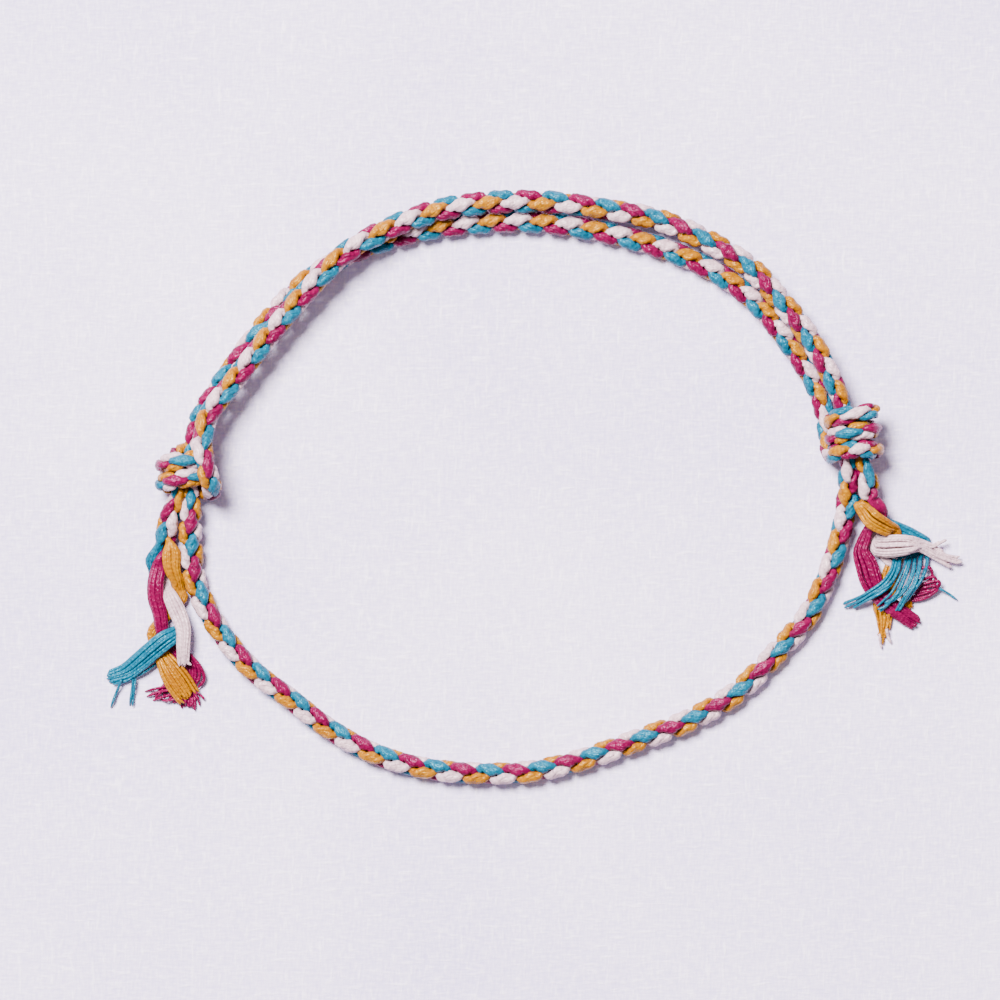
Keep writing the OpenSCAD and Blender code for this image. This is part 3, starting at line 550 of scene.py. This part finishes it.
# %% Draw the guides of the fans
# how many of the lock's last rows are swapped, and the guides that take their place
FANS = {
    "cyan": (7, [
        [(36.7, -6.9, .5), (36.1, -8.3, 1.1), (35.3, -9.5, 1.6), (34.1, -10.4, 1.7),
         (33, -11.1, 1.3), (31.6, -11.7, .5)],
        [(37.1, -6.9, .5), (36.7, -8.3, 1.1), (36, -9.6, 1.6), (35, -10.4, 1.7),
         (33.6, -11.1, 1.3), (32.5, -11.7, .6)],
        [(38, -6.9, .5), (37.6, -8.1, 1.1), (37.1, -9.3, 1.5), (36.5, -10.5, 1.7),
         (35.8, -11.3, 1.5), (35.1, -12, 1.2)],
        [(38.5, -6.9, .5), (38.3, -8.3, 1.1), (37.8, -9.6, 1.5), (37.1, -10.6, 1.7),
         (36.4, -11.2, 1.6), (35.7, -11.6, 1.4)],
        [(39, -7, .5), (38.9, -7.9, 1), (38.7, -8.8, 1.4), (38.3, -9.9, 1.6),
         (37.6, -10.9, 1.5), (37, -12, 1.2)],
        [(39.6, -7.2, .5), (39.5, -7.9, .9), (39.3, -8.6, 1.3), (38.8, -9.6, 1.6),
         (38.1, -10.5, 1.5), (37.6, -11.2, 1.3)],
    ]),
    "yellow": (2, [
        [(34.3, -11.8, .3), (34.7, -13.5, .3), (34.9, -14.8, .25)],
        [(34.8, -11.8, .4), (35, -13.3, .4), (35, -15, .25)],
        [(35.4, -11.8, .4), (35.3, -13.3, .4), (35, -14.7, .25)],
        [(36, -11.9, .3), (35.6, -13.1, .35), (35.3, -14.3, .3)],
    ]),
    "white": (3, [
        [(39, -5.4, 1.4), (40.2, -5.9, 1), (41, -6.4, .8)],
        [(38.9, -5.6, 1.5), (40.1, -5.9, 1.2), (41, -5.5, 1)],
        [(38.8, -5.9, 1.5), (40.4, -6.6, 1), (42, -7, .7)],
        [(38.7, -6.2, 1.4), (40.2, -6.9, .9), (41.6, -7.6, .6)],
        [(38.9, -6, 1.6), (40.5, -6.9, 1.1), (42.1, -7.4, .7)],
    ]),
}
print({colour: len(guides) for colour, (_, guides) in FANS.items()}, "guides in the fans")

# %% [markdown]
# ## From drawn points to threads
#
# A drawn thread becomes a rounded line like all the others. One that lies on the cloth starts a
# little raised, under its lock, and sinks towards its tip with a slight wave.

# %% Round the frayed threads
FRAYED_BETWEEN = 5  # points of a thread from one drawn point to the next
HEIGHT_GAIN = 1.2  # a thread with heights of its own is this much thicker


def frayed_threads(colour, rng):
    """The lines of the drawn threads, and their thickness."""
    for points in FRAYED[colour]:
        line_now = smooth(points, FRAYED_BETWEEN)
        thick = LOOSE_THREAD * rng.uniform(0.8, 1)
        if len(points[0]) == 3:
            thick *= HEIGHT_GAIN
        else:
            t = np.linspace(0, 1, len(line_now))
            height = 0.75 - 0.5 * t + 0.12 * np.sin(3 * math.pi * t + rng.uniform(0, 6))
            line_now = np.column_stack([line_now, height])
        yield line_now, tapered(np.full(len(line_now), thick))


print(f"drawn threads are {2 * LOOSE_THREAD * HEIGHT_GAIN:.2f} mm thick at most")

# %% [markdown]
# ## Satin thread
#
# The thread is glossy and finely twisted. Three things make that: painted shade that darkens the
# grooves of the twist and lightens its ridges, a slight change of dye from thread to thread, and a
# fine uneven bump that breaks the light into sparkles. The noise of that bump also paints a grain
# of light and dark specks into the colour, a painted stand-in for the sparkle. A picture wrapped
# round each thread would need thousands of seams.
# Instead the mesh keeps the distance along the thread and the side of it as an attribute, and the
# shader makes the twist from them, so it follows each thread round every bend. The four colours
# share this node group.

# %% Build the thread finish
TWIST_EVERY = 0.42  # mm along the thread
FLUFF_SCALE = 2500  # tufts a metre
PATCH_SCALE = 420  # patches a metre
# how far each of them turns the colour towards the darker one: the twist paints shade into its
# grooves, the fluff paints a sparkle grain, and tone and patches are changes of dye
DYE_AND_SHADE = {"always": -0.25, "twist": -0.22, "tone": 0.25, "patches": 0.4, "fluff_and_sparkle": 1.1}
# how much each of them raises the thread
RAISED = {"twist": 0.15, "fluff_and_sparkle": 2.6}
SMOOTHEST, ROUGHEST = 0.14, 0.42


def add(nodes, kind, location, **values):
    """A new node at that place of the node editor, with its settings."""
    node = nodes.new(kind)
    node.location = location
    for key, value in values.items():
        setattr(node, key, value)
    return node


def thread_group():
    """The node group that all four colours share."""
    group = bpy.data.node_groups.new("satin_thread", "ShaderNodeTree")
    for name, way, kind in (("Colour", "INPUT", "Color"), ("Dark dye and shade", "INPUT", "Color"),
                            ("Colour", "OUTPUT", "Color"), ("Roughness", "OUTPUT", "Float"),
                            ("Height", "OUTPUT", "Float")):
        group.interface.new_socket(name, in_out=way, socket_type="NodeSocket" + kind)
    nodes, links = group.nodes, group.links
    source = add(nodes, "NodeGroupInput", (-200, 500))
    target = add(nodes, "NodeGroupOutput", (1000, 0))

    def maths(operation, location, first, second=None, third=None):
        node = add(nodes, "ShaderNodeMath", location, operation=operation)
        for socket, value in zip(node.inputs, (first, second, third)):
            if isinstance(value, (int, float)):
                socket.default_value = value
            elif value is not None:
                links.new(value, socket)
        return node.outputs[0]

    lay = add(nodes, "ShaderNodeAttribute", (-1300, 200), attribute_name="lay")
    split = add(nodes, "ShaderNodeSeparateXYZ", (-1100, 200))
    links.new(lay.outputs["Vector"], split.inputs[0])
    turn = maths("MULTIPLY", (-900, 350), split.outputs["X"], 2 * math.pi / TWIST_EVERY)
    one = maths("MULTIPLY", (-500, 350), maths("COSINE", (-700, 350), turn), split.outputs["Y"])
    two = maths("MULTIPLY", (-500, 150), maths("SINE", (-700, 150), turn), split.outputs["Z"])
    twist = maths("MULTIPLY_ADD", (-300, 250), maths("SUBTRACT", (-400, 250), one, two), 0.5, 0.5)

    tone = add(nodes, "ShaderNodeAttribute", (-1300, -100), attribute_name="tone")
    where = add(nodes, "ShaderNodeTexCoord", (-1300, -350))
    fluff_and_sparkle = add(nodes, "ShaderNodeTexNoise", (-1050, -250))
    fluff_and_sparkle.inputs["Scale"].default_value = FLUFF_SCALE
    fluff_and_sparkle.inputs["Detail"].default_value = 3
    patches = add(nodes, "ShaderNodeTexNoise", (-1050, -500))
    patches.inputs["Scale"].default_value = PATCH_SCALE
    patches.inputs["Detail"].default_value = 2
    links.new(where.outputs["Object"], fluff_and_sparkle.inputs["Vector"])
    links.new(where.outputs["Object"], patches.inputs["Vector"])

    # painted shade: the twist darkens the colour in its grooves and lightens it on its ridges
    shade = maths("MULTIPLY_ADD", (-100, 200), twist, DYE_AND_SHADE["twist"], DYE_AND_SHADE["always"])
    shade = maths("MULTIPLY_ADD", (100, 200), tone.outputs["Fac"], DYE_AND_SHADE["tone"], shade)
    shade = maths("MULTIPLY_ADD", (250, 200), patches.outputs["Fac"], DYE_AND_SHADE["patches"], shade)
    # painted sparkle: the fluff noise paints a grain of light and dark specks into the colour,
    # standing in for the satin's glints
    shade = maths("MULTIPLY_ADD", (400, 200), fluff_and_sparkle.outputs["Fac"], DYE_AND_SHADE["fluff_and_sparkle"], shade)
    mix = add(nodes, "ShaderNodeMix", (550, 300), data_type="RGBA")
    rough = add(nodes, "ShaderNodeMapRange", (550, -100))
    rough.inputs["To Min"].default_value = SMOOTHEST
    rough.inputs["To Max"].default_value = ROUGHEST
    low_twist = maths("MULTIPLY", (300, -350), twist, RAISED["twist"])
    height = maths("MULTIPLY_ADD", (550, -350), fluff_and_sparkle.outputs["Fac"], RAISED["fluff_and_sparkle"], low_twist)
    links.new(shade, mix.inputs["Factor"])
    links.new(source.outputs["Colour"], mix.inputs["A"])
    links.new(source.outputs["Dark dye and shade"], mix.inputs["B"])
    links.new(fluff_and_sparkle.outputs["Fac"], rough.inputs["Value"])
    links.new(mix.outputs["Result"], target.inputs["Colour"])
    links.new(rough.outputs["Result"], target.inputs["Roughness"])
    links.new(height, target.inputs["Height"])
    return group


SATIN = thread_group()
print("shared finish:", SATIN.name, "with", len(SATIN.nodes), "nodes")

# %% [markdown]
# ## The satin in four colours
#
# The four materials differ only in two colours, that of the open thread and a darker one. The
# finish mixes towards the darker one for painted shade in the grooves of the twist and a painted
# sparkle grain, and for the changes of dye. Dyed thread shines partly in its own colour, so the
# shine is tinted half way between that colour and white.

# %% Put the finish into a material
def linear(red, green, blue):
    """A colour given from 0 to 255, as the renderer wants it."""
    return tuple((v / 255 / 12.92 if v <= 10 else ((v / 255 + 0.055) / 1.055) ** 2.4)
                 for v in (red, green, blue)) + (1.0,)


def thread_material(name, colour, dark_dye_and_shade):
    """The satin finish in one colour, with a darker one for painted groove shade, painted sparkle
    and changes of dye.
    """
    material = bpy.data.materials.new(name)
    material.use_nodes = True
    nodes, links = material.node_tree.nodes, material.node_tree.links
    shader = nodes["Principled BSDF"]
    shader.inputs["Specular IOR Level"].default_value = 0.55
    half_way_to_white = [v + (255 - v) // 2 for v in colour]
    shader.inputs["Specular Tint"].default_value = linear(*half_way_to_white)
    satin = add(nodes, "ShaderNodeGroup", (-500, 0), node_tree=SATIN)
    satin.inputs["Colour"].default_value = linear(*colour)
    # the darker colour: painted shade in the grooves, the painted sparkle grain, and the changes of
    # dye
    satin.inputs["Dark dye and shade"].default_value = linear(*dark_dye_and_shade)
    bump = add(nodes, "ShaderNodeBump", (-250, -250))
    bump.inputs["Strength"].default_value = 0.8
    bump.inputs["Distance"].default_value = 0.00007
    links.new(satin.outputs["Colour"], shader.inputs["Base Color"])
    links.new(satin.outputs["Roughness"], shader.inputs["Roughness"])
    links.new(satin.outputs["Height"], bump.inputs["Height"])
    links.new(bump.outputs["Normal"], shader.inputs["Normal"])
    material.diffuse_color = linear(*colour)
    return material


print("inputs of the finish:", [socket.name for socket in SATIN.nodes["Group Input"].outputs[:2]])

# %% [markdown]
# ## Marks for the finish
#
# The finish has to know how far along its thread each point lies, on which side, and how dark the
# dye of that thread came out. Each thread could be unwrapped like a label for this, but then it has
# a seam. The bevel makes its rings of points in the order of the lines, so the marks are laid out
# in the same order.

# %% Mark the points of the threads
def mark_threads(piece, lines, seed):
    """Keep the distance along each thread, the side of it and the thread's tone on the mesh."""
    rng = np.random.default_rng(seed)
    total = len(piece.data.vertices)
    sides = total // sum(len(points) + 2 for points, _ in lines)  # each end adds a ring for its cap
    around = 2 * math.pi * np.arange(sides) / sides
    lay, tone = [], []
    for points, _ in lines:
        run = np.concatenate([[0], np.cumsum(np.linalg.norm(np.diff(points, axis=0), axis=1))])
        lay.append(np.column_stack([np.repeat(run + rng.uniform(0, 1), sides),
                                    np.tile(np.cos(around), len(run)),
                                    np.tile(np.sin(around), len(run))]))
        tone.append(np.full(len(run) * sides, rng.uniform(0, 1)))
    lay, tone = np.concatenate(lay), np.concatenate(tone)
    caps = total - len(tone)  # the points of the caps come before all the others
    lay, tone = np.pad(lay, ((caps, 0), (0, 0))), np.pad(tone, (caps, 0), constant_values=0.5)
    piece.data.attributes.new("lay", "FLOAT_VECTOR", "POINT").data.foreach_set(
        "vector", lay.astype(np.float32).ravel())
    piece.data.attributes.new("tone", "FLOAT", "POINT").data.foreach_set(
        "value", tone.astype(np.float32))
    return sides


print("two marks on each point: lay and tone")

# %% [markdown]
# ## The four strands
#
# Each strand has its own loose ends, its own place in the braid and its own colour. The threads
# of a strand are one piece, because they lie against each other and move as one. In the knots the
# braid is pulled thin, and its threads are made a little thicker there to leave no gaps.

# %% Make the strands
HIDDEN = 3  # rings that the short threads reach into the braid
FULL_RADIUS = 1.1  # mm, the braid's radius outside the knots
KNOT_RADIUS = 0.95  # mm, the braid's radius is below this one in the knots
KNOT_GAIN = 0.22  # what the threads gain there, as a share of PRESSED_THREAD
EVENED_OVER = 5  # rings over which a step in thickness is evened out
# columns: start, first and final section, crossed, side, colour, darker colour for painted shade
# and changes of dye
STRANDS = {
    "magenta": (0.0, 1, 432, False, 1, (123, 0, 63), (70, 0, 32)),
    "cyan": (0.0, 2, 433, False, -1, (4, 105, 131), (0, 50, 72)),
    "yellow": (0.25, 1, 431, True, 1, (170, 113, 0), (118, 56, 0)),
    "white": (0.25, 0, 432, True, -1, (223, 188, 194), (156, 122, 134)),
}


def strand_lines(colour_name, braid, sizes, rng):
    """All the threads of one strand, with their thickness."""
    left = lock_rings(LEFT_LOCKS[colour_name], braid[0])[::-1]
    right = lock_rings(RIGHT_LOCKS[colour_name], braid[-1])
    rings = np.concatenate([left, braid, right])
    girth = PRESSED_THREAD * (sizes / FULL_RADIUS + KNOT_GAIN * (sizes < KNOT_RADIUS))
    girth = np.concatenate([np.full(len(left), LOOSE_THREAD), girth,
                            np.full(len(right), LOOSE_THREAD)])
    girth = np.convolve(np.pad(girth, EVENED_OVER // 2, mode="edge"),
                        np.full(EVENED_OVER, 1 / EVENED_OVER), mode="valid")
    fan = FANS.get(colour_name)
    left_end, right_end = len(left) + HIDDEN, len(right) + HIDDEN
    return [*long_threads(rings, girth, len(left), len(right), rng, fan),
            *short_threads(rings[:left_end][::-1], girth[:left_end][::-1], len(left), rng),
            *short_threads(rings[-right_end:], girth[-right_end:], len(right), rng, fan),
            *frayed_threads(colour_name, rng)]


for seed, (colour_name, (*course, colour, dark_dye_and_shade)) in enumerate(STRANDS.items(), start=1):
    braid, sizes = braid_rings(*course)
    lines = strand_lines(colour_name, braid, sizes, np.random.default_rng(seed))
    piece = thread_piece(colour_name + "_threads", lines)
    sides = mark_threads(piece, lines, seed)
    piece.data.materials.append(thread_material(colour_name + "_satin", colour, dark_dye_and_shade))
    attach(piece, "root")
    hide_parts(colour_name + "_strand")
    print(piece.name, len(lines), "threads,", sides, "sided,",
          sum(len(p.vertices) - 2 for p in piece.data.polygons), "triangles")

# %% [markdown]
# ## The cloth it lies on
#
# The bracelet lies on a pale woven cloth. It is only a plane, because its folds are too faint to
# need shape. Its yarn shows as fine streaks along and across, which are two noises stretched in the
# two directions. Here and there a thicker bit of yarn, a slub, catches the light, so the peaks of
# two coarser noises are added, and the lighter tint they give is a painted highlight. Both tint the
# cloth a little and raise it in a low bump. A broad noise paints faint light and shade where its
# folds would be.

# %% Lay the cloth
YARN_LONG, YARN_FINE = 900, 3600  # streaks a metre, along them and across
SLUB_LONG, SLUB_FINE = 420, 1900
FOLD_SCALE = 26  # folds a metre
bpy.ops.mesh.primitive_plane_add(size=1.2, location=(0, 0, 0))
cloth = bpy.context.active_object
cloth.name = "cloth"
cloth_finish = bpy.data.materials.new("pale_woven_cloth")
cloth_finish.use_nodes = True
nodes, links = cloth_finish.node_tree.nodes, cloth_finish.node_tree.links
shader = nodes["Principled BSDF"]
shader.inputs["Roughness"].default_value = 0.9
shader.inputs["Specular IOR Level"].default_value = 0.2
where = add(nodes, "ShaderNodeTexCoord", (-1500, 0))


def streaks(x, y, height):
    """A noise with that many spots a metre in each direction, so it is stretched along one."""
    stretch = add(nodes, "ShaderNodeMapping", (-1300, height))
    stretch.inputs["Scale"].default_value = (x, y, min(x, y))
    noise = add(nodes, "ShaderNodeTexNoise", (-1100, height))
    noise.inputs["Scale"].default_value = 1
    noise.inputs["Detail"].default_value = 2
    links.new(where.outputs["Object"], stretch.inputs["Vector"])
    links.new(stretch.outputs["Vector"], noise.inputs["Vector"])
    return noise.outputs["Fac"]


# painted highlight: the slub peaks lighten the cloth's tint where thicker yarn catches the light,
# and also raise its bump
slubs = add(nodes, "ShaderNodeMath", (-850, -500), operation="MAXIMUM")
links.new(streaks(SLUB_LONG, SLUB_FINE, -600), slubs.inputs[0])
links.new(streaks(SLUB_FINE, SLUB_LONG, -900), slubs.inputs[1])
peaks = add(nodes, "ShaderNodeMapRange", (-650, -500))
peaks.inputs["From Min"].default_value = 0.58
peaks.inputs["From Max"].default_value = 0.78
peaks.inputs["To Max"].default_value = 0.3
links.new(slubs.outputs[0], peaks.inputs["Value"])
weave = add(nodes, "ShaderNodeMath", (-850, -100), operation="MULTIPLY")
links.new(streaks(YARN_LONG, YARN_FINE, 0), weave.inputs[0])
links.new(streaks(YARN_FINE, YARN_LONG, -300), weave.inputs[1])
# painted light and shade: the cloth's faint folds are tinted onto the flat plane instead of shaped
fold_shading = add(nodes, "ShaderNodeTexNoise", (-1100, 300))
fold_shading.inputs["Scale"].default_value = FOLD_SCALE
fold_shading.inputs["Detail"].default_value = 4
links.new(where.outputs["Object"], fold_shading.inputs["Vector"])
yarn = add(nodes, "ShaderNodeMath", (-650, -200), operation="ADD")
links.new(weave.outputs[0], yarn.inputs[0])
links.new(peaks.outputs[0], yarn.inputs[1])
both = add(nodes, "ShaderNodeMath", (-650, 100), operation="MULTIPLY_ADD")
both.inputs[1].default_value = 0.5
links.new(fold_shading.outputs["Fac"], both.inputs[0])
links.new(yarn.outputs[0], both.inputs[2])
shade = add(nodes, "ShaderNodeMapRange", (-450, 100))
shade.inputs["From Min"].default_value = 0.25
shade.inputs["From Max"].default_value = 0.8
tint = add(nodes, "ShaderNodeMix", (-250, 200), data_type="RGBA")
tint.inputs["A"].default_value = linear(196, 180, 226)
tint.inputs["B"].default_value = linear(248, 232, 255)
bump = add(nodes, "ShaderNodeBump", (-250, -200))
bump.inputs["Strength"].default_value = 0.5
bump.inputs["Distance"].default_value = 0.0002
links.new(both.outputs[0], shade.inputs["Value"])
links.new(shade.outputs["Result"], tint.inputs["Factor"])
links.new(tint.outputs["Result"], shader.inputs["Base Color"])
links.new(yarn.outputs[0], bump.inputs["Height"])
links.new(bump.outputs["Normal"], shader.inputs["Normal"])
cloth.data.materials.append(cloth_finish)
print("cloth:", cloth.dimensions[0], "m wide")

# %% [markdown]
# ## Light
#
# The light is a bright window at the upper left with a pale room around it. A large area lamp gives
# the soft shadows to the lower right, and the world fills them.

# %% Set the lights
world = bpy.data.worlds.new("room")
bpy.context.scene.world = world
world.use_nodes = True
background = world.node_tree.nodes["Background"]
background.inputs["Color"].default_value = (0.94, 0.93, 0.98, 1)
background.inputs["Strength"].default_value = 0.42
window_data = bpy.data.lights.new("window", "AREA")
window_data.energy = 66
window_data.size = 0.40
window = bpy.data.objects.new("window", window_data)
window.location = (-0.35, 0.45, 0.95)
window.rotation_euler = window.location.to_track_quat("Z", "Y").to_euler()
bpy.context.scene.collection.objects.link(window)
print("window light:", window_data.energy, "W")
